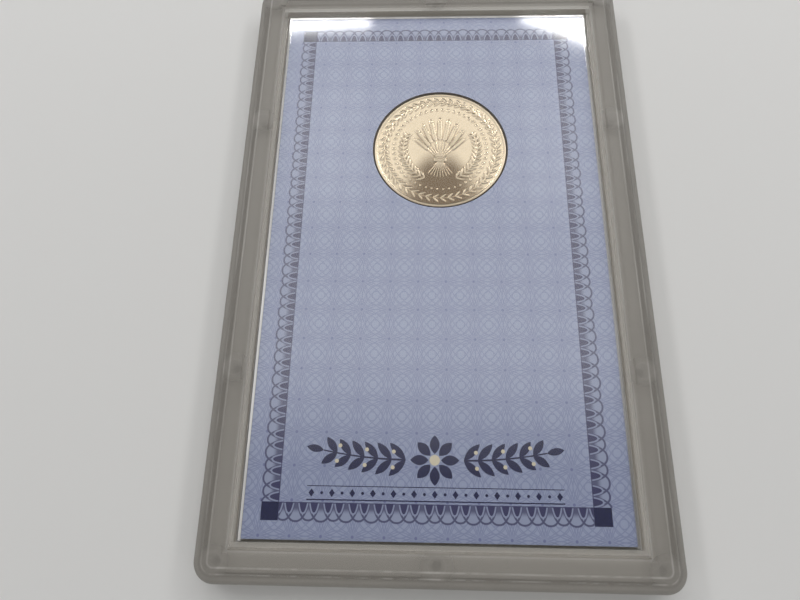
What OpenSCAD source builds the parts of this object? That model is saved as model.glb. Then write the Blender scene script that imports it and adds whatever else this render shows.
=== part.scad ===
// Graded coin slab: two clear shells round a printed insert that holds one coin.
// It lies on its back. X runs across the print, Y up the print and Z out of the printed face.
// Sizes are in millimetres.

/* [Coin] */
// Diameter of the coin
coin_d = 30.6; // [17:0.1:40]
// Thickness of the coin over its raised rims
coin_t = 2.15; // [1.6:0.05:3.2]
// Width of the raised rim on each face
coin_rim_w = 0.6; // [0.6:0.1:1.6]
// Height of the raised rim above the field
coin_rim_h = 0.25; // [0.1:0.05:0.4]
// Width of the slope between the rim and the field
coin_slope_w = 0.3; // [0.1:0.05:0.5]
// Chamfer round the edge of each face
coin_chamfer = 0.15; // [0.05:0.05:0.3]
// Place of the coin across the slab
coin_x = 1; // [-6:0.1:6]
// Place of the coin up the slab
coin_y = 23.3; // [-30:0.1:30]

/* [Insert] */
// Width of the printed cards
card_w = 73.2; // [66:0.2:90]
// Length of the printed cards
card_l = 123.2; // [112:0.2:150]
// Thickness of each printed card
card_t = 0.4; // [0.2:0.05:0.6]
// Depth of the coin below the face of the front card
coin_recess = 0.25; // [0.1:0.05:0.6]
// Room round the coin in the core board
board_hole_gap = 0.1; // [0.05:0.05:0.3]
// Room round the coin in the printed cards
card_hole_gap = 0.3; // [0.1:0.05:0.6]
// Room between the insert and the walls round it
insert_gap = 0.6; // [0.2:0.1:1.4]
// Room between the front card and the front pane
lid_gap = 0.1; // [0.05:0.05:0.3]

/* [Shells] */
// Thickness of each clear pane
pane_t = 2; // [1.5:0.1:3]
// Thickness of the outer wall of the rim
outer_wall_t = 2; // [1.4:0.1:3]
// Thickness of the wall between the insert and the rim channel
inner_wall_t = 1.4; // [0.8:0.1:2]
// Width of the hollow channel inside the rim
channel_w = 3.7; // [3.5:0.1:6]
// Thickness of the rim above and below the channel
rim_plate_t = 2; // [1.5:0.1:2.4]
// Corner radius of the slab
corner_r = 4; // [3.6:0.1:6]
// Rounding of the outer edges
edge_r = 1.5; // [0.5:0.1:1.7]
// Chamfer of the outer edges at the seam
seam_chamfer = 0.2; // [0.1:0.05:0.4]

/* [Window] */
// Margin of the polished window past the edge of the card
window_margin = 2.2; // [0.5:0.1:3]
// Depth of the window below the rim
window_depth = 0.3; // [0.2:0.05:0.6]
// Width of the bevel from the rim down to the window
bevel_w = 0.3; // [0.2:0.05:1]

/* [Pegs] */
// Diameter of the pegs under the front rim
peg_d = 1.8; // [1.2:0.1:2.2]
// Radial room of a peg in its socket
peg_gap = 0.05; // [0.02:0.01:0.1]
// Outer diameter of the socket bosses
boss_d = 3.2; // [2.8:0.1:3.5]
// Room between the tip of a peg and the floor of its socket
peg_tip_gap = 0.5; // [0.2:0.1:0.8]
// Room between a boss and the rim above it
boss_top_gap = 0.9; // [0.3:0.1:1.2]
// Distance of the side pegs from the middle of the slab
side_peg_y = 29.5; // [15:0.5:45]

/* [Hidden] */
$fn = 96;

rim_w = insert_gap + inner_wall_t + channel_w + outer_wall_t;
slab_w = card_w + 2 * rim_w;
slab_l = card_l + 2 * rim_w;

insert_t = coin_t + coin_recess;
board_t = insert_t - 2 * card_t;
cavity_t = insert_t + lid_gap;
insert_z = window_depth + pane_t;
slab_t = 2 * insert_z + cavity_t;
shell_t = slab_t / 2;

cavity_w = card_w + 2 * insert_gap;
cavity_l = card_l + 2 * insert_gap;
channel_t = slab_t - 2 * rim_plate_t;
boss_t = channel_t - boss_top_gap;
peg_l = channel_t - peg_tip_gap;

// Middle line of the rim channel, where the pegs stand
peg_x = cavity_w / 2 + inner_wall_t + channel_w / 2;
peg_y = cavity_l / 2 + inner_wall_t + channel_w / 2;
PEG_PLACES = [
    for (side = [-1, 1], row = [-1, 1]) [side * peg_x, row * peg_y],
    for (side = [-1, 1], row = [-1, 1]) [side * peg_x, row * side_peg_y],
    for (row = [-1, 1]) [0, row * peg_y],
];

// Overlap of a cut past the face it opens
cut = 1;

shell_colour = [0.76, 0.73, 0.69, 0.55];
card_colour = [0.72, 0.76, 0.9];
board_colour = [0.93, 0.93, 0.91];
coin_colour = [0.8, 0.78, 0.72];

// Section through a shell of the given width: rounded below, chamfered at the seam above
module shell_section(width) {
    half = width / 2;
    polygon([
        [-half, edge_r],
        [half, edge_r],
        [half, shell_t - seam_chamfer],
        [half - seam_chamfer, shell_t],
        [seam_chamfer - half, shell_t],
        [-half, shell_t - seam_chamfer]
    ]);
    translate([edge_r - half, 0]) square([width - 2 * edge_r, shell_t]);
    for (side = [-1, 1])
        translate([side * (half - edge_r), edge_r]) circle(edge_r);
}

// The same section from the axis of a corner out to the wall
module corner_section() {
    intersection() {
        shell_section(2 * corner_r);
        square([corner_r, shell_t]);
    }
}

// Outer form of a shell, its outer face on the XY plane and its seam above
module shell_form() {
    straight_w = slab_w - 2 * corner_r;
    straight_l = slab_l - 2 * corner_r;
    rotate([90, 0, 0]) linear_extrude(straight_l, center = true) shell_section(slab_w);
    rotate([90, 0, 90]) linear_extrude(straight_w, center = true) shell_section(slab_l);
    for (turn = [0 : 3]) {
        along_x = turn == 0 || turn == 3 ? 1 : -1;
        along_y = turn < 2 ? 1 : -1;
        translate([along_x * straight_w / 2, along_y * straight_l / 2, 0])
            rotate([0, 0, 90 * turn]) rotate_extrude(angle = 90) corner_section();
    }
}

// Rectangle with rounded corners
module rounded_rectangle(width, length, radius) {
    square([width - 2 * radius, length], center = true);
    square([width, length - 2 * radius], center = true);
    for (side = [-1, 1], row = [-1, 1])
        translate([side * (width / 2 - radius), row * (length / 2 - radius)]) circle(radius);
}

// Hollow channel round the rim, between the inner and the outer wall
module rim_channel() {
    translate([0, 0, rim_plate_t]) linear_extrude(shell_t) difference() {
        rounded_rectangle(slab_w - 2 * outer_wall_t, slab_l - 2 * outer_wall_t, corner_r - outer_wall_t);
        square([cavity_w + 2 * inner_wall_t, cavity_l + 2 * inner_wall_t], center = true);
    }
}

// Section of the sunk window: as wide as the pane at its floor, wider by the bevel at the rim
module window_section(pane_width) {
    slope = bevel_w / window_depth;
    half = pane_width / 2;
    mouth = half + bevel_w + cut * slope;
    polygon([[-mouth, -cut], [mouth, -cut], [half, window_depth], [-half, window_depth]]);
}

// The sunk window, with bevels that meet in mitred corners
module window_cut() {
    window_w = card_w + 2 * window_margin;
    window_l = card_l + 2 * window_margin;
    intersection() {
        rotate([90, 0, 0]) linear_extrude(slab_l, center = true) window_section(window_w);
        rotate([90, 0, 90]) linear_extrude(slab_w, center = true) window_section(window_l);
    }
}

// One shell lying on its outer face, open above
module open_shell() {
    difference() {
        shell_form();
        translate([-cavity_w / 2, -cavity_l / 2, insert_z]) cube([cavity_w, cavity_l, shell_t]);
        rim_channel();
        window_cut();
    }
}

module rear_shell() {
    color(shell_colour) {
        open_shell();
        for (place = PEG_PLACES)
            translate([place[0], place[1], rim_plate_t]) difference() {
                cylinder(d = boss_d, h = boss_t);
                cylinder(d = peg_d + 2 * peg_gap, h = boss_t + cut);
            }
    }
}

module front_shell() {
    color(shell_colour) {
        translate([0, 0, slab_t]) mirror([0, 0, 1]) open_shell();
        for (place = PEG_PLACES)
            translate([place[0], place[1], slab_t - rim_plate_t - peg_l]) cylinder(d = peg_d, h = peg_l);
    }
}

// A sheet of the insert with the hole for the coin
module insert_sheet(z, thickness, hole_gap) {
    translate([0, 0, z]) linear_extrude(thickness) difference() {
        square([card_w, card_l], center = true);
        translate([coin_x, coin_y]) circle(d = coin_d + 2 * hole_gap);
    }
}

module rear_card() {
    color(card_colour) insert_sheet(insert_z, card_t, card_hole_gap);
}

module core_board() {
    color(board_colour) insert_sheet(insert_z + card_t, board_t, board_hole_gap);
}

module front_card() {
    color(card_colour) insert_sheet(insert_z + card_t + board_t, card_t, card_hole_gap);
}

// Half section of the coin: raised rims round a lower field on both faces
module coin_section() {
    radius = coin_d / 2;
    slope_r = radius - coin_rim_w;
    field_r = slope_r - coin_slope_w;
    polygon([
        [0, coin_rim_h],
        [field_r, coin_rim_h],
        [slope_r, 0],
        [radius - coin_chamfer, 0],
        [radius, coin_chamfer],
        [radius, coin_t - coin_chamfer],
        [radius - coin_chamfer, coin_t],
        [slope_r, coin_t],
        [field_r, coin_t - coin_rim_h],
        [0, coin_t - coin_rim_h]
    ]);
}

module coin() {
    color(coin_colour) translate([coin_x, coin_y, insert_z]) rotate_extrude() coin_section();
}

rear_shell();
rear_card();
core_board();
coin();
front_card();
front_shell();
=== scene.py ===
"""Looks of a graded coin slab: clear shells, printed cards, a struck coin, camera and studio.

The CAD frame is in metres. Lengths here are named in millimetres and turned into metres where a mesh is made.
X runs across the print, Y up the print and Z out of the printed face.
"""

import math

import bpy
import numpy as np
from mathutils import Euler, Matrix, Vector


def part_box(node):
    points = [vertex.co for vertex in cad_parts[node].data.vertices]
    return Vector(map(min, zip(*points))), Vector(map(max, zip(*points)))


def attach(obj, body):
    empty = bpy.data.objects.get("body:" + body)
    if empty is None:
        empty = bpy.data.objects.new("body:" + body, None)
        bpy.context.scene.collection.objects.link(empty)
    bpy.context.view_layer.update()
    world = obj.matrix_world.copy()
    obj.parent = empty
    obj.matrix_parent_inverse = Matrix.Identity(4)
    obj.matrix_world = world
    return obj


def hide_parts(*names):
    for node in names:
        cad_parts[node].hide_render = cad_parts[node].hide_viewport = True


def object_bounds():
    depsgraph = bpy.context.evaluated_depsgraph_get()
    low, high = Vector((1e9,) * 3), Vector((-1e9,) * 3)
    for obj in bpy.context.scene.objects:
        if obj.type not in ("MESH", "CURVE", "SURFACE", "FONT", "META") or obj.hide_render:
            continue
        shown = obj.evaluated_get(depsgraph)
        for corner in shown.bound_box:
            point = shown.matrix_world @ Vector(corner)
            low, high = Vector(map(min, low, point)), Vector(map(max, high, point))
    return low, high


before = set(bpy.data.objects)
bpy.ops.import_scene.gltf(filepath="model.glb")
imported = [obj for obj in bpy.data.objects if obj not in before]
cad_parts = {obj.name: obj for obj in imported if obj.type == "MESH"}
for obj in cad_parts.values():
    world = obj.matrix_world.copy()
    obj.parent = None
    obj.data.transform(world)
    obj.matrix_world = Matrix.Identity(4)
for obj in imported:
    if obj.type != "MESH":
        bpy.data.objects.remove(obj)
cad_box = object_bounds()

MM = 0.001


def box_mm(node):
    """Lowest and highest corner of a CAD node, in millimetres."""
    low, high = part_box(node)
    return low / MM, high / MM


# Sizes that come from the frame
slab_high = cad_box[1] / MM
slab_half_w = slab_high.x
slab_half_l = slab_high.y
slab_t = slab_high.z
seam_z = slab_t / 2
card_high = box_mm("front_card")[1]
card_half_w = card_high.x
card_half_l = card_high.y
rear_card_low = box_mm("rear_card")[0]
coin_low, coin_high = box_mm("coin")
coin_r = (coin_high.x - coin_low.x) / 2
coin_x = (coin_high.x + coin_low.x) / 2
coin_y = (coin_high.y + coin_low.y) / 2
coin_middle_z = (coin_high.z + coin_low.z) / 2

# Shells, as in the CAD model
corner_r = 4.0
window_margin = 2.2
bevel_w = 0.3
frost_start = 1.3
insert_gap = 0.6
inner_wall_t = 1.4
outer_wall_t = 2.0
pane_t = 2.0
window_depth = 0.3
pane_inside = seam_z - window_depth - pane_t
peg_inset = 3.85
boss_r = 1.6
peg_x = slab_half_w - peg_inset
peg_y = slab_half_l - peg_inset
side_peg_y = 29.5

# Coin, as in the CAD model, but with a field sunk less deep, so that the relief can stand on it
coin_rim_w = 0.6
coin_rim_h = 0.25
coin_slope_w = 0.45
coin_chamfer = 0.15
coin_field_sunk = 0.55 * coin_rim_h
coin_field_z = coin_high.z - coin_middle_z - coin_field_sunk

# Print on the cards, measured from its own middle
print_x = -0.3
print_y = -0.27
frame_half_w = 29.42
frame_half_l = 54.65
corner_block = 3.35
lace_pitch_across = 4.75
lace_pitch_along = 4.79
lattice_pitch_x = 5.89
lattice_pitch_y = 6.37
lattice_shift_x = -3.5
lattice_shift_y = -3.33
ornament_drop = 46.6
print_ior = 1.95

# Colours, linear
paper = (0.335, 0.378, 0.52, 1)
paper_edge = (0.66, 0.66, 0.67, 1)
# Painted shade on the wall of the coin's hole
cut_shade = (0.15, 0.125, 0.1, 1)
lace_violet = (0.033, 0.031, 0.1, 1)
lace_pale = (0.27, 0.3, 0.44, 1)
lattice_violet = (0.155, 0.173, 0.32, 1)
navy = (0.014, 0.017, 0.066, 1)
cream = (0.7, 0.62, 0.44, 1)
frost_inside = (0.545, 0.51, 0.455, 1)
frost_skin = (0.245, 0.229, 0.204, 1)
frost_light = (0.76, 0.74, 0.7, 1)
frost_dark = (0.15, 0.138, 0.12, 1)
wall_milk = (0.8, 0.79, 0.76, 1)
# White of the painted highlight along the card's edge on the pane
glint_white = (0.95, 0.94, 0.92, 1)
polish = (1, 1, 1, 1)
board_white = (0.7, 0.69, 0.66, 1)
silver = (0.69, 0.585, 0.43, 1)
silver_dull = (0.3, 0.24, 0.17, 1)
# Dark silver for the painted reflection below the coin's middle and the painted shade in its hollows
silver_painted_dark = (0.13, 0.092, 0.058, 1)
floor_pale = (0.74, 0.735, 0.72, 1)
overhead_grey = (0.18, 0.18, 0.18, 1)


class Field:
    """One node socket whose value changes over a surface, with Python's operators on it."""

    def __init__(self, finish, socket):
        self.finish = finish
        self.socket = socket

    def __add__(self, other):
        return self.finish.maths("ADD", self, other)

    def __sub__(self, other):
        return self.finish.maths("SUBTRACT", self, other)

    def __rsub__(self, other):
        return self.finish.maths("SUBTRACT", other, self)

    def __mul__(self, other):
        return self.finish.maths("MULTIPLY", self, other)

    def __truediv__(self, other):
        return self.finish.maths("DIVIDE", self, other)

    def __pow__(self, power):
        return self.finish.maths("POWER", self, power)

    def __abs__(self):
        return self.finish.maths("ABSOLUTE", self)

    __radd__ = __add__
    __rmul__ = __mul__

    def output(self, index):
        """Another output of the same node."""
        return Field(self.finish, self.socket.node.outputs[index])


class Finish:
    """Nodes of a material, lamp or world. node() adds any node, the other methods name the usual ones."""

    def __init__(self, data):
        data.use_nodes = True
        self.data = data
        self.tree = data.node_tree
        self.tree.nodes.clear()

    def node(self, kind, settings=None, sockets=None, output=0):
        made = self.tree.nodes.new(kind)
        for name, value in (settings or {}).items():
            setattr(made, name, value)
        for key, value in (sockets or {}).items():
            if isinstance(value, Field):
                self.tree.links.new(value.socket, made.inputs[key])
            else:
                made.inputs[key].default_value = value
        return Field(self, made.outputs[output]) if made.outputs else made

    def maths(self, operation, *values):
        return self.node("ShaderNodeMath", {"operation": operation}, dict(enumerate(values)))

    def lower(self, one, other):
        return self.maths("MINIMUM", one, other)

    def higher(self, one, other):
        return self.maths("MAXIMUM", one, other)

    def length(self, across, along):
        return self.maths("SQRT", across * across + along * along)

    def wrap(self, value, period):
        """The value brought into one period, from minus half to half of it."""
        return self.maths("WRAP", value, period / 2, -period / 2)

    def step(self, value, start, end):
        """Rises smoothly from 0 at start to 1 at end."""
        return self.node(
            "ShaderNodeMapRange",
            {"interpolation_type": "SMOOTHSTEP"},
            {"Value": value, "From Min": start, "From Max": end},
        )

    def line(self, offset, half_width, blur=0.05):
        """1 on a line where the offset is 0, and 0 past its half width."""
        return self.step(abs(offset), half_width + blur, half_width - blur)

    def mix(self, factor, one, other):
        """The first colour where the factor is 0, the other where it is 1."""
        colours = {0: factor, 6: one, 7: other}
        return self.node("ShaderNodeMix", {"data_type": "RGBA"}, colours, output=2)

    def noise(self, place, scale, detail=2.0, roughness=0.5):
        sockets = {"Vector": place, "Scale": scale, "Detail": detail, "Roughness": roughness}
        return self.node("ShaderNodeTexNoise", None, sockets)

    def place(self):
        """Where a point is in the slab's frame, in millimetres."""
        metres = self.node("ShaderNodeTexCoord", output=3)
        return self.node("ShaderNodeVectorMath", {"operation": "SCALE"}, {0: metres, "Scale": 1 / MM})

    def split(self, vector):
        first = self.node("ShaderNodeSeparateXYZ", None, {0: vector})
        return first, first.output(1), first.output(2)

    def stretch(self, vector, factors):
        return self.node("ShaderNodeVectorMath", {"operation": "MULTIPLY"}, {0: vector, 1: factors})

    def facing_up(self):
        """How far the surface faces along Z, from -1 to 1."""
        normal = self.node("ShaderNodeTexCoord", output=1)
        return self.split(normal)[2]

    def relief(self, height_mm):
        """A normal that follows fine relief, given as a height in millimetres."""
        return self.node("ShaderNodeBump", None, {"Strength": 1, "Distance": MM, "Height": height_mm})

    def surface(self, **sockets):
        named = {name.replace("_", " "): value for name, value in sockets.items()}
        return self.node("ShaderNodeBsdfPrincipled", None, named)

    def done(self, shader, output="ShaderNodeOutputMaterial"):
        self.node(output, None, {"Surface": shader})
        return self.data


def new_finish(name):
    return Finish(bpy.data.materials.new(name))


def outline_depth(finish, across, along):
    """Distance in from the slab's rounded outline."""
    past_w = across - (slab_half_w - corner_r)
    past_l = along - (slab_half_l - corner_r)
    round_part = finish.length(finish.higher(past_w, 0), finish.higher(past_l, 0))
    straight_part = finish.lower(finish.higher(past_w, past_l), 0)
    return corner_r - round_part - straight_part


def nearest_boss(finish, across, along):
    """Distance from the middle of the nearest peg and boss inside the rim."""
    corner = finish.length(across - peg_x, along - peg_y)
    side = finish.length(across - peg_x, along - side_peg_y)
    end = finish.length(across, along - peg_y)
    return finish.lower(corner, finish.lower(side, end))


def make_shell_finish():
    """Clear styrene: polished window, frosted rim skin, milky walls, painted light and shade lines along the
    rim and a painted highlight line round the card.
    """
    rim_cover, rounded_cover = 0.52, 0.32
    inside_cover, wall_cover, seam_cover = 0.95, 0.85, 0.15
    haze_cover, dust_cover = 0.24, 0.05
    veil_start, veil_end = 3.4, 1.6
    finish = new_finish("clear_and_frosted_plastic")
    place = finish.place()
    x, y, z = finish.split(place)
    across = abs(x)
    along = abs(y)
    from_seam = abs(z - seam_z)
    facing_up = finish.facing_up()
    up_share = abs(facing_up)

    # Where a point lies: in from the slab's outline, out from the card, and which face it is on
    depth = outline_depth(finish, across, along)
    past_card = finish.higher(across - card_half_w, along - card_half_l)
    boss = nearest_boss(finish, across, along)
    in_window = finish.step(past_card, window_margin + bevel_w + 0.03, window_margin + bevel_w - 0.03)
    level = finish.step(up_share, 0.75, 0.9)
    upright = finish.step(up_share, 0.5, 0.3)
    at_seam = level * finish.step(from_seam, 0.3, 0.2)
    lid_seam = at_seam * finish.step(facing_up, 0.1, -0.1)
    wall_end = insert_gap + inner_wall_t
    near_edge = finish.step(depth, outer_wall_t - 0.05, outer_wall_t - 0.15) * (1 - at_seam)
    outer_skin = finish.higher(finish.step(from_seam, seam_z - 0.6, seam_z - 0.5), near_edge)
    polished = finish.step(past_card, frost_start + 0.1, frost_start - 0.1)
    window_skin = outer_skin * level * polished
    bevel = outer_skin * in_window * (1 - level)
    rim_skin = outer_skin - window_skin
    inside = 1 - outer_skin
    pane_face = inside * level * finish.line(from_seam - pane_inside, 0.08, 0.02)
    gap_floor = pane_face * finish.step(past_card, -0.02, 0.02) * finish.step(z, seam_z, seam_z - 0.1)
    pane_mirror = pane_face * (1 - gap_floor)
    wall = inside * upright * finish.step(past_card, insert_gap + 0.1, insert_gap + 0.05)
    frosted = inside * (1 - pane_mirror) * (1 - wall) * (1 - lid_seam)

    # Frost: cloudy patches, grain and scuffs, with painted light lines along the rim where its walls catch
    # the light, a painted shade line between them, painted light lines at the frost's edge and round the
    # window's frame inside, and a faint painted highlight on the rounded outer edge
    cloud = finish.noise(place, 0.09, 3)
    streak = finish.noise(finish.stretch(place, (0.5, 0.06, 0.5)), 1.0, 2)
    scuff = finish.step(finish.noise(finish.stretch(place, (2.2, 0.12, 1)), 1.0, 3, 0.6), 0.66, 0.74)
    grain = finish.noise(place, 3.2, 3, 0.7)
    streaky = finish.step(streak, 0.35, 0.65)
    edge_light = finish.line(depth - 1.75, 0.12, 0.11) * streaky
    wall_light = finish.line(depth - 2.85, 0.15, 0.13) * (0.4 + 0.6 * streaky)
    # Painted shade line between the light lines of the walls
    wall_shade_line = finish.line(depth - 2.3, 0.3, 0.2)
    # Painted light line just past where the frost starts, and one round the window's frame on the inside
    # faces
    frost_edge_light = finish.line(past_card - frost_start - 0.2, 0.15, 0.14)
    frame_light = finish.line(past_card - wall_end - 0.2, 0.16, 0.12)
    boss_ring = finish.line(boss - boss_r, 0.14, 0.16)
    # Painted highlight on the rounded outer edge; the same mask also thickens the skin's cover there
    rounded = finish.step(depth, 1.7, 0.8)
    rim_lines = finish.higher(0.42 * wall_light, 0.2 * frost_edge_light * streaky)
    skin_light = finish.higher(0.4 * edge_light, rim_lines) + 0.03 * boss_ring + 0.05 * rounded
    skin_dark = finish.higher(0.2 * wall_shade_line, 0.25 * finish.step(cloud, 0.55, 0.3))
    skin_colour = finish.mix(skin_dark, frost_skin, frost_dark)
    skin_colour = finish.mix(skin_light + 0.07 * scuff + 0.14 * grain - 0.05, skin_colour, frost_light)
    inner_colour = finish.mix(0.6 * frame_light + 0.15 * grain, frost_inside, frost_light)

    # Polish: what reflects at this angle, with a little dust
    facing = finish.node("ShaderNodeLayerWeight", None, {"Blend": 0.5}, output=1)
    gloss = 0.05 + 0.95 * facing ** 5
    dust = finish.step(finish.noise(place, 1.4, 2, 0.6), 0.75, 0.8)
    over_card = finish.step(past_card, 0.3, -0.1)
    haze = window_skin * finish.step(past_card, 0.15, 0.6)
    dull = finish.higher(window_skin * dust, haze)

    # Painted highlight: a bright line on the pane where it meets the card's cut edge, standing in for light
    # caught there, strongest on the left and there lower down
    card_edge = finish.line(past_card - 0.05, 0.29, 0.06) * pane_mirror
    on_left = finish.step(x, -card_half_w + 0.6, -card_half_w) * (0.6 + 0.4 * finish.step(y, 45, -25))
    on_right = finish.step(x, card_half_w - 0.6, card_half_w)
    on_top = finish.step(y, card_half_l - 0.6, card_half_l)
    bright_side = finish.higher(on_left, finish.higher(0.4 * on_right, 0.8 * on_top))
    edge_glint = card_edge * bright_side * (0.88 + 0.12 * streaky)

    mirror = (window_skin - dull + pane_mirror) * (1 - edge_glint)
    colour = finish.mix(mirror, inner_colour, polish)
    colour = finish.mix(rim_skin, colour, skin_colour)
    colour = finish.mix(haze, colour, frost_light)
    colour = finish.mix(wall, colour, wall_milk)
    colour = finish.mix(edge_glint, colour, glint_white)
    colour = finish.mix(0.05 * bevel, colour, frost_light)
    cover = over_card * (0.04 * window_skin + 0.2 * pane_mirror) * gloss
    cover = cover + dust_cover * window_skin * dust + haze_cover * haze
    cover = finish.higher(cover, edge_glint)
    veil = finish.step(boss, veil_start, veil_end)
    cover = cover + rim_skin * (rim_cover + rounded_cover * finish.higher(rounded, 0.8 * veil))
    cover = cover + inside_cover * frosted + wall_cover * wall + seam_cover * lid_seam
    satin = rim_skin + frosted + bevel + lid_seam
    roughness = 0.03 + satin * (0.38 + 0.15 * grain) + 0.5 * finish.higher(wall, dull)

    height = 0.03 * finish.noise(place, 0.03, 1) * mirror + satin * (0.008 * grain + 0.004 * scuff)
    plastic = finish.surface(
        Base_Color=colour, Metallic=mirror, Roughness=roughness, IOR=1.59, Normal=finish.relief(height)
    )
    clear = finish.node("ShaderNodeBsdfTransparent")
    return finish.done(finish.node("ShaderNodeMixShader", None, {0: cover, 1: clear, 2: plastic}))


def lace_side(finish, along, outward, pitch):
    """Ink of one side of the lace: dark teeth and loops, pale lines round the teeth, the tinted ground."""
    wide_half, narrow_half = 2.5, 2.2
    wide_tall, narrow_tall = 3.42, 3.24
    bend, tooth_bend = 2.45, 2.3
    loop_half, loop_blur = 0.18, 0.07
    tooth_half, tooth_tall, tooth_from_wide = 0.74, 1.85, 1.33
    from_wide = abs(finish.wrap(along - pitch / 2, pitch))
    from_narrow = pitch / 2 - from_wide

    def past_arch(offset, half_width, tall, power):
        share = offset / half_width
        level = outward / tall + share**power - 1
        slope = finish.length(share ** (power - 1) * (power / half_width), 0 * share + 1 / tall)
        return level / slope

    wide = past_arch(from_wide, wide_half, wide_tall, bend)
    narrow = past_arch(from_narrow, narrow_half, narrow_tall, bend)
    tooth_edge = past_arch(abs(from_wide - tooth_from_wide), tooth_half, tooth_tall, tooth_bend)
    loops = finish.higher(finish.line(wide, loop_half, loop_blur), finish.line(narrow, loop_half, loop_blur))
    tooth = finish.step(tooth_edge, 0.05, -0.05)
    pale = finish.line(tooth_edge - 0.11, 0.09, 0.06)
    inside = finish.step(finish.lower(wide, narrow), 0.05, -0.05)
    in_band = finish.step(outward, -0.03, 0.03)
    base = finish.step(outward, 0.32, 0.16)
    root = finish.step(outward, 2.1, 0.9)
    dark = finish.higher(finish.higher(0.8 * loops, 0.75 * root) * (1 - pale), 0.95 * tooth)
    dark = finish.higher(dark, 0.8 * base)
    return dark * in_band, pale * in_band * (1 - base), inside * in_band


def lattice(finish, across, up):
    """Faint engine-turned ground: waves between dots, rings in each cell and large rings round the dots."""
    pitch = (lattice_pitch_x + lattice_pitch_y) / 2
    line_half, line_blur = 0.09, 0.06
    wave_swings = (0.16, 0.64)
    wave_power = 1.25
    ring_sizes = (0.34, 0.5)
    over = abs(finish.wrap(across - lattice_shift_x, lattice_pitch_x)) / lattice_pitch_x
    above = abs(finish.wrap(up - lattice_shift_y, lattice_pitch_y)) / lattice_pitch_y

    def inked(cells_off):
        return finish.line(cells_off * pitch, line_half, line_blur)

    def waves(run, off, swing):
        """Waves that leave this row of dots, and those that come from the next one."""
        rise = swing * finish.maths("SINE", run * math.pi) ** wave_power
        slope = swing * math.pi * finish.maths("COSINE", run * math.pi)
        steep = finish.maths("SQRT", slope * slope + 1)
        return finish.higher(inked((off - rise) / steep), inked((1 - rise - off) / steep))

    lines = inked(finish.length(1 - over, 1 - above) - 1)
    between = finish.lower(over, above)
    for run, off in ((over, above), (above, over)):
        for swing in wave_swings:
            lines = finish.higher(lines, waves(run, off, swing))
        lines = finish.higher(lines, inked(finish.length(1 - run, off) - 1))
    to_middle = finish.length(0.5 - over, 0.5 - above)
    for ring_r in ring_sizes:
        lines = finish.higher(lines, 0.85 * inked(to_middle - ring_r))
    to_dot = finish.length(over, above) * pitch
    crowd = finish.step(to_dot, 1.3, 0.3)
    dots = finish.step(to_dot, 0.42, 0.2)
    row = finish.step(between, 0.12, 0.02)
    woven = lines * (0.48 + 0.06 * row) * (1 - 0.6 * crowd) + 0.04 * row
    return finish.higher(woven, 0.9 * dots)


def card_warp(finish, place):
    """Slow waves of the laminated card, which bend what it reflects."""
    return 0.07 * finish.noise(place, 0.035, 1)


def near_coin(finish, x, y):
    """1 on the wall of the coin's hole."""
    return finish.step(finish.length(x - coin_x, y - coin_y), coin_r + 0.8, coin_r + 0.6)


def make_card_finish(name, outer_side):
    """Smooth printed card: pale blue, engine-turned ground, lace frame and corner blocks."""
    finish = new_finish(name)
    place = finish.place()
    x, y, _ = finish.split(place)
    across = x - print_x
    up = y - print_y
    past_w = abs(across) - frame_half_w
    past_l = abs(up) - frame_half_l

    ground = lattice(finish, across, up)
    side_dark, side_pale, side_inside = lace_side(finish, up, past_w, lace_pitch_along)
    end_dark, end_pale, end_inside = lace_side(finish, across, past_l, lace_pitch_across)
    on_side = finish.step(past_l, 0.03, -0.03)
    on_end = finish.step(past_w, 0.03, -0.03)
    lace_dark = finish.higher(side_dark * on_side, end_dark * on_end)
    lace_light = finish.higher(side_pale * on_side, end_pale * on_end)
    lace_ground = finish.higher(side_inside * on_side, end_inside * on_end)
    past_inner = finish.lower(past_w, past_l)
    past_outer = finish.higher(past_w, past_l) - corner_block
    block = finish.step(past_inner, -0.04, 0.04) * finish.step(past_outer, 0.04, -0.04)

    cloud = finish.noise(place, 0.12, 3)
    fibre = finish.noise(finish.stretch(place, (3, 1.2, 3)), 2.0, 3, 0.6)
    tone = finish.mix(0.1 * cloud + 0.12 * (fibre - 0.4), paper, lattice_violet)
    tone = finish.mix(ground * (1 - lace_ground), tone, lattice_violet)
    tone = finish.mix(0.1 * lace_ground, tone, lace_violet)
    tone = finish.mix(lace_dark, tone, lace_violet)
    tone = finish.mix(0.7 * lace_light, tone, lace_pale)
    tone = finish.mix(block, tone, navy)
    printed = finish.step(finish.facing_up() * outer_side, 0.5, 0.8)
    # Painted shade on the wall of the coin's hole
    cut = finish.mix(near_coin(finish, x, y), paper_edge, cut_shade)
    colour = finish.mix(printed, cut, tone)
    roughness = 0.5 + printed * (0.03 * fibre - 0.45)
    normal = finish.relief(card_warp(finish, place))
    return finish.done(finish.surface(Base_Color=colour, Roughness=roughness, IOR=print_ior, Normal=normal))


def make_board_finish():
    """Plain pressed board with soft fibres, a slightly ragged cut and painted shade on the wall of the coin's
    hole.
    """
    finish = new_finish("plain_white_board")
    place = finish.place()
    fibre = finish.noise(finish.stretch(place, (1, 1, 4)), 2.5, 4, 0.65)
    layer = finish.noise(finish.stretch(place, (0.2, 0.2, 9)), 1.0, 2)
    x, y, _ = finish.split(place)
    colour = finish.mix(0.35 * fibre + 0.25 * layer, board_white, paper_edge)
    # Painted shade on the wall of the coin's hole
    colour = finish.mix(near_coin(finish, x, y), colour, cut_shade)
    normal = finish.relief(0.03 * fibre + 0.02 * layer)
    return finish.done(finish.surface(Base_Color=colour, Roughness=0.85, Normal=normal))


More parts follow.
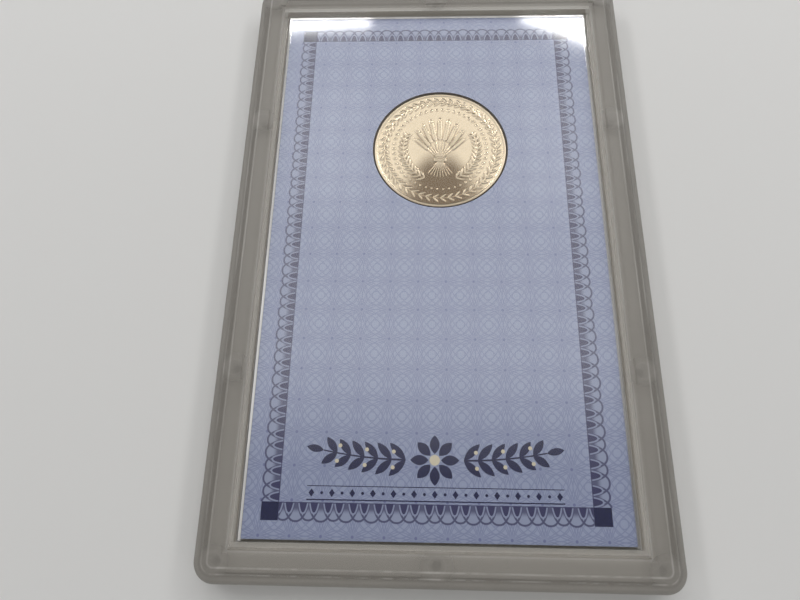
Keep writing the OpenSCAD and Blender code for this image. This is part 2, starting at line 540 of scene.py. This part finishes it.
def make_coin_finish():
    """Struck silver with a warm tone: bright field, satin relief, hairlines, a painted dark reflection below
    the middle and painted shade in the hollows.
    """
    finish = new_finish("struck_silver")
    place = finish.place()
    cloud = finish.noise(place, 0.35, 3)
    hair = finish.noise(finish.stretch(place, (6, 0.25, 1)), 1.0, 3, 0.6)
    flow = finish.noise(place, 7.0, 2, 0.6)
    hollow = finish.node("ShaderNodeAttribute", {"attribute_name": "hollow"}, output=2)
    x, y, z = finish.split(place)
    raised = finish.step(abs(z - coin_middle_z), coin_field_z + 0.015, coin_field_z + 0.06)
    # Painted dark reflection: the field darker in a wedge below the middle, weaker on the relief
    below = coin_y - y
    spread = abs(x - coin_x) / (3 + 0.55 * finish.higher(below, 0))
    dark_reflection_wedge = finish.step(below, -1.5, 6) * finish.step(spread, 1.4, 0.4) * (1 - 0.7 * raised)
    tone = finish.mix(0.2 * cloud + 0.15 * raised, silver, silver_dull)
    tone = finish.mix(0.92 * dark_reflection_wedge, tone, silver_painted_dark)
    # Painted shade in the hollows round the relief
    tone = finish.mix(0.8 * hollow, tone, silver_painted_dark)
    height = 0.0004 * flow + 0.0006 * finish.step(hair, 0.6, 0.7)
    roughness = 0.13 + 0.05 * cloud + 0.14 * raised
    metal = finish.surface(Base_Color=tone, Metallic=1, Roughness=roughness, Normal=finish.relief(height))
    return finish.done(metal)


def make_ink_finish(name, colour, worn):
    """Flat print ink with the paper's tooth showing through a little."""
    finish = new_finish(name)
    place = finish.place()
    fibre = finish.noise(place, 2.4, 3, 0.6)
    cloud = finish.noise(place, 0.4, 2)
    tone = finish.mix(0.1 * fibre + 0.08 * cloud, colour, worn)
    normal = finish.relief(card_warp(finish, place))
    roughness = 0.06 + 0.03 * fibre
    return finish.done(finish.surface(Base_Color=tone, Roughness=roughness, IOR=print_ior, Normal=normal))


def make_floor_finish():
    finish = new_finish("pale_floor")
    place = finish.place()
    cloud = finish.noise(place, 0.008, 2)
    tone = finish.mix(0.05 * cloud, floor_pale, paper_edge)
    return finish.done(finish.surface(Base_Color=tone, Roughness=0.8))


# Relief of the coin: each shape gives a dome from 0 at its edge to 1 along its middle
dome_power = 0.6
leaf_power = 0.8
stem_lift = 0.4


def dome_of_dot(x, y, middle, radius):
    apart = np.hypot(x - middle[0], y - middle[1]) / radius
    return np.clip(1 - apart**2, 0, 1) ** dome_power


def turned(x, y, base, angle):
    """Distances along and beside a line that leaves base at the angle."""
    dx = x - base[0]
    dy = y - base[1]
    run = dx * math.cos(angle) + dy * math.sin(angle)
    beside = dy * math.cos(angle) - dx * math.sin(angle)
    return run, beside


def dome_of_leaf(x, y, base, angle, length, width):
    run, beside = turned(x, y, base, angle)
    half = width / 2 * np.sin(np.pi * np.clip(run / length, 0, 1)) ** leaf_power
    inside = 1 - (beside / np.maximum(half, 1e-4)) ** 2
    return np.where(half > 1e-3, np.clip(inside, 0, 1) ** dome_power, 0)


def dome_of_stroke(x, y, base, angle, length, width):
    run, beside = turned(x, y, base, angle)
    apart = np.hypot(run - np.clip(run, 0, length), beside)
    return np.clip(1 - (apart / (width / 2)) ** 2, 0, 1) ** dome_power


def dome_of_ring(x, y, radius, width):
    apart = (np.hypot(x, y) - radius) / (width / 2)
    return np.clip(1 - apart**2, 0, 1) ** dome_power


def wheat_ear(x, y, base, angle, length, lift):
    """Two rows of grains, a grain at the tip and a bristle from each."""
    grains = 7
    grain_w, tip_w = 0.48, 0.5
    grain_lean = 0.4
    bristle_l, bristle_w, bristle_lift, bristle_lean = 2.0, 0.17, 0.3, 0.2
    grain_l = length / grains * 1.5
    height = np.zeros_like(x)
    for place in range(grains):
        run = length * place / grains
        foot = (base[0] + run * math.cos(angle), base[1] + run * math.sin(angle))
        for side in (-1, 1):
            lean = angle + side * grain_lean
            bristle = angle + side * bristle_lean
            height = np.maximum(height, lift * dome_of_leaf(x, y, foot, lean, grain_l, grain_w))
            bristle_dome = dome_of_stroke(x, y, foot, bristle, bristle_l, bristle_w)
            height = np.maximum(height, bristle_lift * bristle_dome)
    tip = (base[0] + length * math.cos(angle), base[1] + length * math.sin(angle))
    return np.maximum(height, lift * dome_of_leaf(x, y, tip, angle, grain_l, tip_w))


def leafy_spray(x, y, middle, radius, start, end, leaves, lift):
    """A curved stem with leaves on both sides, along part of a circle."""
    stem_w, leaf_w, leaf_lean = 0.22, 0.6, 0.66
    first_leaf_l, last_leaf_l = 2.2, 1.4
    height = np.zeros_like(x)
    turn = (end - start) / leaves
    heading = math.copysign(math.pi / 2, turn)
    for place in range(leaves + 1):
        angle = start + turn * place
        foot = (middle[0] + radius * math.cos(angle), middle[1] + radius * math.sin(angle))
        stem_l = abs(turn) * radius * 1.1
        height = np.maximum(height, stem_lift * dome_of_stroke(x, y, foot, angle + heading, stem_l, stem_w))
        leaf_l = first_leaf_l - (first_leaf_l - last_leaf_l) * place / leaves
        for side in (-1, 1):
            lean = angle + heading + side * leaf_lean
            height = np.maximum(height, lift * dome_of_leaf(x, y, foot, lean, leaf_l, leaf_w))
    return height


def garland(x, y, count, radius):
    """A closed band of leaves in pairs along a stem, next to the rim."""
    stem_w = 0.24
    leaf_l, leaf_w, leaf_lean, leaf_lift = 1.75, 0.56, 0.62, 0.65
    height = stem_lift * dome_of_ring(x, y, radius, stem_w)
    for place in range(count):
        angle = 2 * math.pi * place / count
        foot = (radius * math.cos(angle), radius * math.sin(angle))
        for lean in (-leaf_lean, leaf_lean):
            heading = angle + math.pi / 2 + lean
            height = np.maximum(height, leaf_lift * dome_of_leaf(x, y, foot, heading, leaf_l, leaf_w))
    return height


def ring_of_beads(x, y, count, radius, bead_r, lift):
    height = np.zeros_like(x)
    for place in range(count):
        angle = 2 * math.pi * place / count
        bead = (radius * math.cos(angle), radius * math.sin(angle))
        height = np.maximum(height, lift * dome_of_dot(x, y, bead, bead_r))
    return height


def spray_pair(x, y, radius, start, end, leaves, lift):
    """Two sprays that rise on both sides from the bottom of a circle, given as turns away from it."""
    height = np.zeros_like(x)
    for side in (-1, 1):
        first = -math.pi / 2 + side * start
        last = -math.pi / 2 + side * end
        height = np.maximum(height, leafy_spray(x, y, (0, 0), radius, first, last, leaves, lift))
    return height


def sheaf_side(x, y):
    """Face of the coin: a bound wheat sheaf between two sprays, in a ring of beads."""
    stalks_aside = 4
    fan_step, foot_step = 0.2, 0.16
    stalk_w, foot_l, foot_lift = 0.3, 4.6, 0.45
    ear_lift = 0.8
    tie = (0.0, -2.9)
    band_half, band_w, band_lift = 1.25, 0.42, 0.9
    height = garland(x, y, count=48, radius=12.95)
    height = np.maximum(height, ring_of_beads(x, y, count=50, radius=10.7, bead_r=0.3, lift=0.65))
    for place in range(-stalks_aside, stalks_aside + 1):
        fan = math.pi / 2 - place * fan_step
        stalk_l = 5.2 - 0.09 * place**2
        ear_l = 5.0 - 0.1 * place**2
        ear = (tie[0] + stalk_l * math.cos(fan), tie[1] + stalk_l * math.sin(fan))
        height = np.maximum(height, stem_lift * dome_of_stroke(x, y, tie, fan, stalk_l, stalk_w))
        height = np.maximum(height, wheat_ear(x, y, ear, fan, ear_l, ear_lift))
        foot = -math.pi / 2 + place * foot_step
        height = np.maximum(height, foot_lift * dome_of_stroke(x, y, tie, foot, foot_l, stalk_w))
    for row in (-0.4, 0.0, 0.4):
        band_start = (-band_half, tie[1] + row)
        band = dome_of_stroke(x, y, band_start, 0.0, 2 * band_half, band_w)
        height = np.maximum(height, band_lift * band)
    sprays = spray_pair(x, y, radius=8.5, start=0.42, end=1.95, leaves=11, lift=0.65)
    return np.maximum(height, sprays)


def wreath_side(x, y):
    """Back of the coin: a round flower inside a closed wreath and a ring of beads."""
    petals = 12
    petal_start, heart_r = 1.2, 1.5
    petal_l, petal_w, petal_lift = 5.2, 1.5, 0.75
    sepal_l, sepal_w, sepal_lift = 6.3, 0.9, 0.4
    ring_r, ring_w, ring_lift = 7.6, 0.35, 0.4
    height = ring_of_beads(x, y, count=72, radius=13.1, bead_r=0.3, lift=0.5)
    wreath = spray_pair(x, y, radius=10.3, start=0.12, end=2.95, leaves=20, lift=0.7)
    height = np.maximum(height, wreath)
    for place in range(petals):
        angle = 2 * math.pi * place / petals
        outer = (petal_start * math.cos(angle), petal_start * math.sin(angle))
        height = np.maximum(height, petal_lift * dome_of_leaf(x, y, outer, angle, petal_l, petal_w))
        between = angle + math.pi / petals
        height = np.maximum(height, sepal_lift * dome_of_leaf(x, y, outer, between, sepal_l, sepal_w))
    height = np.maximum(height, dome_of_dot(x, y, (0, 0), heart_r))
    return np.maximum(height, ring_lift * dome_of_ring(x, y, ring_r, ring_w))


def disc_grid(count):
    """Square grid of points bent into a disc of radius 1, and the loop of points round its edge."""
    steps = np.linspace(-1, 1, count)
    a, b = np.meshgrid(steps, steps)
    wide = np.abs(a) > np.abs(b)
    safe_a = np.where(a == 0, 1, a)
    safe_b = np.where(b == 0, 1, b)
    radius = np.where(wide, a, b)
    angle = np.where(wide, math.pi / 4 * b / safe_a, math.pi / 2 - math.pi / 4 * a / safe_b)
    index = np.arange(count * count).reshape(count, count)
    loop = np.concatenate([index[0, :-1], index[:-1, -1], index[-1, :0:-1], index[:0:-1, 0]])
    quads = np.stack([index[:-1, :-1], index[:-1, 1:], index[1:, 1:], index[1:, :-1]], axis=-1)
    return (radius * np.cos(angle)).ravel(), (radius * np.sin(angle)).ravel(), quads.reshape(-1, 4), loop


def hollows(height, count):
    """How far each point of the relief lies below the mean round it, from 0 to 1, for painted shade in the
    hollows.
    """
    reach = 2
    grid = height.reshape(count, count)
    shifts = [(across, along) for across in range(-reach, reach + 1) for along in range(-reach, reach + 1)]
    mean = sum(np.roll(grid, shift, (0, 1)) for shift in shifts) / len(shifts)
    return np.clip(4 * (mean - grid), 0, 1).ravel()


def make_coin():
    """The coin as one closed mesh: two struck faces, chamfers and a reeded edge."""
    grid_count = 201
    reeds = 150
    reed_depth = 0.07
    face_r = coin_r - coin_chamfer
    slope_r = coin_r - 0.75 * coin_rim_w
    field_r = slope_r - coin_slope_w
    relief_h = 0.13
    fade_w = 0.4
    unit_x, unit_y, quads, loop = disc_grid(grid_count)
    x, y = face_r * unit_x, face_r * unit_y
    out = np.hypot(x, y)
    rim = np.clip((out - field_r) / coin_slope_w, 0, 1)
    rim = rim * rim * (3 - 2 * rim)
    fade = np.clip((field_r - out) / fade_w, 0, 1)
    rim_z = coin_high.z - coin_middle_z
    face_z = coin_field_z + (rim_z - coin_field_z) * rim
    front = fade * sheaf_side(x, y)
    back = fade * wreath_side(-x, y)
    top = coin_middle_z + face_z + relief_h * front
    bottom = coin_middle_z - face_z - relief_h * back

    points = [np.stack([x, y, top], axis=1), np.stack([x, y, bottom], axis=1)]
    angle = np.arctan2(y[loop], x[loop])
    reed = coin_r - reed_depth * (0.5 - 0.5 * np.cos(reeds * angle))
    for level in (coin_high.z - coin_chamfer, coin_low.z + coin_chamfer):
        edge = [reed * np.cos(angle), reed * np.sin(angle), np.full_like(reed, level)]
        points.append(np.stack(edge, axis=1))
    faces = [quads, quads[:, ::-1] + len(x)]
    upper = 2 * len(x)
    lower_loop = upper + len(loop)
    rings = [loop, upper + np.arange(len(loop)), lower_loop + np.arange(len(loop)), loop + len(x)]
    for above, below in zip(rings[:-1], rings[1:]):
        after_above = np.roll(above, -1)
        after_below = np.roll(below, -1)
        faces.append(np.stack([above, below, after_below, after_above], axis=1))
    vertices = (np.concatenate(points) + np.array([coin_x, coin_y, 0])) * MM
    mesh = bpy.data.meshes.new("struck_coin")
    mesh.from_pydata(vertices.tolist(), [], np.concatenate(faces).tolist())
    mesh.polygons.foreach_set("use_smooth", np.ones(len(mesh.polygons), dtype=bool))
    # Painted shade for the hollows of the relief, kept on the mesh
    shade = [hollows(front, grid_count), hollows(back, grid_count), np.zeros(2 * len(loop))]
    mesh.attributes.new("hollow", "FLOAT", "POINT").data.foreach_set("value", np.concatenate(shade))
    mesh.materials.append(make_coin_finish())
    return add_object("struck_coin", mesh)


def add_object(name, data):
    made = bpy.data.objects.new(name, data)
    bpy.context.scene.collection.objects.link(made)
    return made


# Printed ornament: flat shapes of ink, each an outline of points in millimetres


def leaf_outline(base, angle, length, width):
    steps = 10
    runs = [length * place / steps for place in range(steps + 1)]
    halves = [width / 2 * math.sin(math.pi * run / length) ** leaf_power for run in runs[1:-1]]
    side = [(run, -half) for run, half in zip(runs[1:-1], halves)]
    other = [(run, half) for run, half in zip(runs[1:-1], halves)]
    flat = [(0, 0)] + side + [(length, 0)] + other[::-1]
    return placed(flat, base, angle)


def placed(flat, base, angle):
    """Points turned by the angle and moved to the base."""
    cos, sin = math.cos(angle), math.sin(angle)
    return [(base[0] + u * cos - v * sin, base[1] + u * sin + v * cos) for u, v in flat]


def disc_outline(middle, radius):
    steps = 24
    turns = [2 * math.pi * place / steps for place in range(steps)]
    return [(middle[0] + radius * math.cos(turn), middle[1] + radius * math.sin(turn)) for turn in turns]


def bar_outline(start, end, width):
    angle = math.atan2(end[1] - start[1], end[0] - start[0])
    length = math.hypot(end[0] - start[0], end[1] - start[1])
    half = width / 2
    return placed([(0, -half), (length, -half), (length, half), (0, half)], start, angle)


def lozenge_outline(middle, width, tall):
    return [
        (middle[0] - width / 2, middle[1]),
        (middle[0], middle[1] - tall / 2),
        (middle[0] + width / 2, middle[1]),
        (middle[0], middle[1] + tall / 2),
    ]


def laurel_outlines(middle, side, start, end, rise):
    """A laurel branch that runs outwards from the middle: navy leaves and stem, cream berries."""
    leaves = 6
    leaf_w, leaf_lean = 1.5, 0.78
    tip_l, tip_w = 3.4, 1.4
    berry_off, berry_lean, berry_r = 1.5, 1.75, 0.38
    dark, light = [], []

    def stem(share):
        return middle[0] + side * (start + (end - start) * share), middle[1] + rise * share**2

    for place in range(leaves):
        share = place / leaves
        foot = stem(share)
        ahead = stem(share + 1 / leaves)
        heading = math.atan2(ahead[1] - foot[1], ahead[0] - foot[0])
        leaf_l = 4.4 - 0.9 * share
        stem_w = 0.36 - 0.12 * share
        for lean in (-leaf_lean, leaf_lean):
            dark.append(leaf_outline(foot, heading + lean, leaf_l, leaf_w))
        dark.append(bar_outline(foot, ahead, stem_w))
        if place % 2:
            for lean in (-berry_lean, berry_lean):
                berry = placed([(berry_off, 0)], foot, heading + lean)[0]
                light.append(disc_outline(berry, berry_r))
    tip = stem(1)
    tip_heading = math.atan2(2 * rise, side * (end - start))
    dark.append(leaf_outline(tip, tip_heading, tip_l, tip_w))
    return dark, light


def ornament_outlines(middle):
    """A flower between two laurel branches, over a ruled row of lozenges."""
    petals = 8
    petal_start, petal_l, petal_w, heart_r = 1.2, 3.5, 1.9, 1.0
    row_drop, row_pitch, marks_aside = 6.3, 1.95, 12
    dot_r, lozenge_w, lozenge_tall = 0.28, 1.1, 1.5
    rule_half, rule_off, upper_rule_w, lower_rule_w = 24.3, 1.25, 0.14, 0.22
    dark, light = [], []
    for place in range(petals):
        angle = 2 * math.pi * place / petals
        foot = placed([(petal_start, 0)], middle, angle)[0]
        dark.append(leaf_outline(foot, angle, petal_l, petal_w))
    light.append(disc_outline(middle, heart_r))
    for side in (-1, 1):
        branch_dark, branch_light = laurel_outlines(middle, side, start=5.6, end=21.5, rise=1.6)
        dark += branch_dark
        light += branch_light
    row_y = middle[1] - row_drop
    for place in range(-marks_aside, marks_aside + 1):
        spot = (middle[0] + row_pitch * place, row_y)
        lozenge = lozenge_outline(spot, lozenge_w, lozenge_tall)
        dark.append(disc_outline(spot, dot_r) if place % 2 else lozenge)
    for rule_y, width in ((row_y + rule_off, upper_rule_w), (row_y - rule_off, lower_rule_w)):
        start = (middle[0] - rule_half, rule_y)
        end = (middle[0] + rule_half, rule_y)
        dark.append(bar_outline(start, end, width))
    return dark, light


def make_ink(name, middle, card_face, outward):
    """The ornament as thin closed slabs of ink on a card's face."""
    ink_t = 0.02
    layer_t, layers = 0.0004, 20
    tone_t = 0.012
    vertices, faces, tones = [], [], []
    for tone, outlines in enumerate(ornament_outlines(middle)):
        for order, outline in enumerate(outlines):
            count = len(outline)
            first = len(vertices)
            lift = outward * (ink_t + layer_t * (order % layers) + tone_t * tone)
            vertices += [(px * MM, py * MM, card_face * MM) for px, py in outline]
            vertices += [(px * MM, py * MM, (card_face + lift) * MM) for px, py in outline]
            low = list(range(first, first + count))
            high = list(range(first + count, first + 2 * count))
            shell = [low[::-1], high]
            shell += [[low[k], low[(k + 1) % count], high[(k + 1) % count], high[k]] for k in range(count)]
            faces += shell if outward > 0 else [face[::-1] for face in shell]
            tones += [tone] * len(shell)
    mesh = bpy.data.meshes.new(name)
    mesh.from_pydata(vertices, [], faces)
    mesh.materials.append(navy_ink)
    mesh.materials.append(cream_ink)
    mesh.polygons.foreach_set("material_index", tones)
    return add_object(name, mesh)


def dress(node, material):
    """Gives a CAD node its finish."""
    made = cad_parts[node]
    if not made.material_slots:
        made.data.materials.append(material)
    for slot in made.material_slots:
        slot.material = material


# Pieces
shell_finish = make_shell_finish()
dress("rear_shell", shell_finish)
dress("front_shell", shell_finish)
dress("front_card", make_card_finish("front_print", 1))
dress("rear_card", make_card_finish("rear_print", -1))
dress("core_board", make_board_finish())

coin = make_coin()
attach(coin, "coin")
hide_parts("coin")

navy_ink = make_ink_finish("navy_ink", navy, lace_violet)
cream_ink = make_ink_finish("cream_ink", cream, paper)
ornament_y = print_y - ornament_drop
front_ink = make_ink("front_ornament", (print_x, ornament_y), card_high.z, 1)
rear_ink = make_ink("rear_ornament", (print_x, ornament_y), rear_card_low.z, -1)
for ink in (front_ink, rear_ink):
    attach(ink, "tray")


# Camera, as the photograph was taken
camera_lens = 27.18
camera_spot = (-2.8, -57.31, 124.43)
camera_turn = (19.828, 1.904, 1.062)
camera_data = bpy.data.cameras.new("photo_camera")
camera_data.sensor_width = 36
camera_data.lens = camera_lens
camera_data.clip_start = 0.005
camera = add_object("photo_camera", camera_data)
camera.location = Vector(camera_spot) * MM
camera.rotation_euler = Euler([math.radians(angle) for angle in camera_turn])
scene = bpy.context.scene
scene.camera = camera


def add_panel(name, middle, size, turn, radiance, soft, rise=0.0):
    """A level lamp panel over the slab. It fades over the soft width and gains the rise to its far edge."""
    data = bpy.data.lights.new(name, "AREA")
    data.shape = "RECTANGLE"
    data.size = size[0] * MM
    data.size_y = size[1] * MM
    data.energy = radiance * math.pi * data.size * data.size_y
    glow = Finish(data)
    u, v, _ = glow.split(glow.node("ShaderNodeNewGeometry", output=5))
    from_side = (0.5 - abs(u - 0.5)) * size[0]
    from_end = (0.5 - abs(v - 0.5)) * size[1]
    level = glow.step(from_side, 0, soft) * glow.step(from_end, 0, soft) * (1 + rise * v)
    glow.done(glow.node("ShaderNodeEmission", None, {"Strength": level}), "ShaderNodeOutputLight")
    panel = add_object(name, data)
    panel.location = Vector(middle) * MM
    panel.rotation_euler = (0, 0, math.radians(turn))


# Studio: two strip lamps beyond the top edge, a soft ceiling with glows for the coin, and panels all round.
# Each line gives a panel's middle, its size, its turn, how bright it is and how wide its edge fades.
panel_rise = 480
panel_z = card_high.z + panel_rise
add_panel("left_lamp", (-173, 538, panel_z), (216, 48), 4.6, 15, 13)
add_panel("right_lamp", (227, 501, panel_z), (248, 54), -27, 16, 14)
add_panel("left_glow", (-117, 357, panel_z + 10), (168, 240), 0, 0.35, 72)
add_panel("right_glow", (151, 357, panel_z + 10), (168, 240), 0, 0.35, 72)
add_panel("ceiling", (3, 337, panel_z + 20), (600, 760), 0, 0.95, 160, 0.25)
add_panel("left_side", (-430, 330, panel_z), (260, 560), 0, 5.5, 100)
add_panel("right_side", (430, 330, panel_z), (260, 560), 0, 5.5, 100)
add_panel("left_front", (-430, -330, panel_z), (260, 420), 0, 2.5, 100)
add_panel("right_front", (430, -330, panel_z), (260, 420), 0, 2.5, 100)
add_panel("front_fill", (0, -420, panel_z), (560, 420), 0, 1, 120)

floor_mesh = bpy.data.meshes.new("floor")
floor_half = 550 * MM
floor_z = -0.06 * MM
floor_corners = ((-1, -1), (1, -1), (1, 1), (-1, 1))
floor_points = [(x * floor_half, y * floor_half, floor_z) for x, y in floor_corners]
floor_mesh.from_pydata(floor_points, [], [(0, 1, 2, 3)])
floor_mesh.materials.append(make_floor_finish())
add_object("floor", floor_mesh)

# Room: pale near the horizon, dimmer overhead where the lamps are
room = Finish(bpy.data.worlds.new("room"))
climb = abs(room.split(room.node("ShaderNodeTexCoord"))[2])
walls = room.mix(room.step(climb, 0.05, 0.35), floor_pale, overhead_grey)
scene.world = room.done(room.node("ShaderNodeBackground", None, {"Color": walls}), "ShaderNodeOutputWorld")

scene.view_settings.view_transform = "Standard"
scene.cycles.use_denoising = True
scene.cycles.transparent_max_bounces = 32
scene.cycles.sample_clamp_indirect = 4
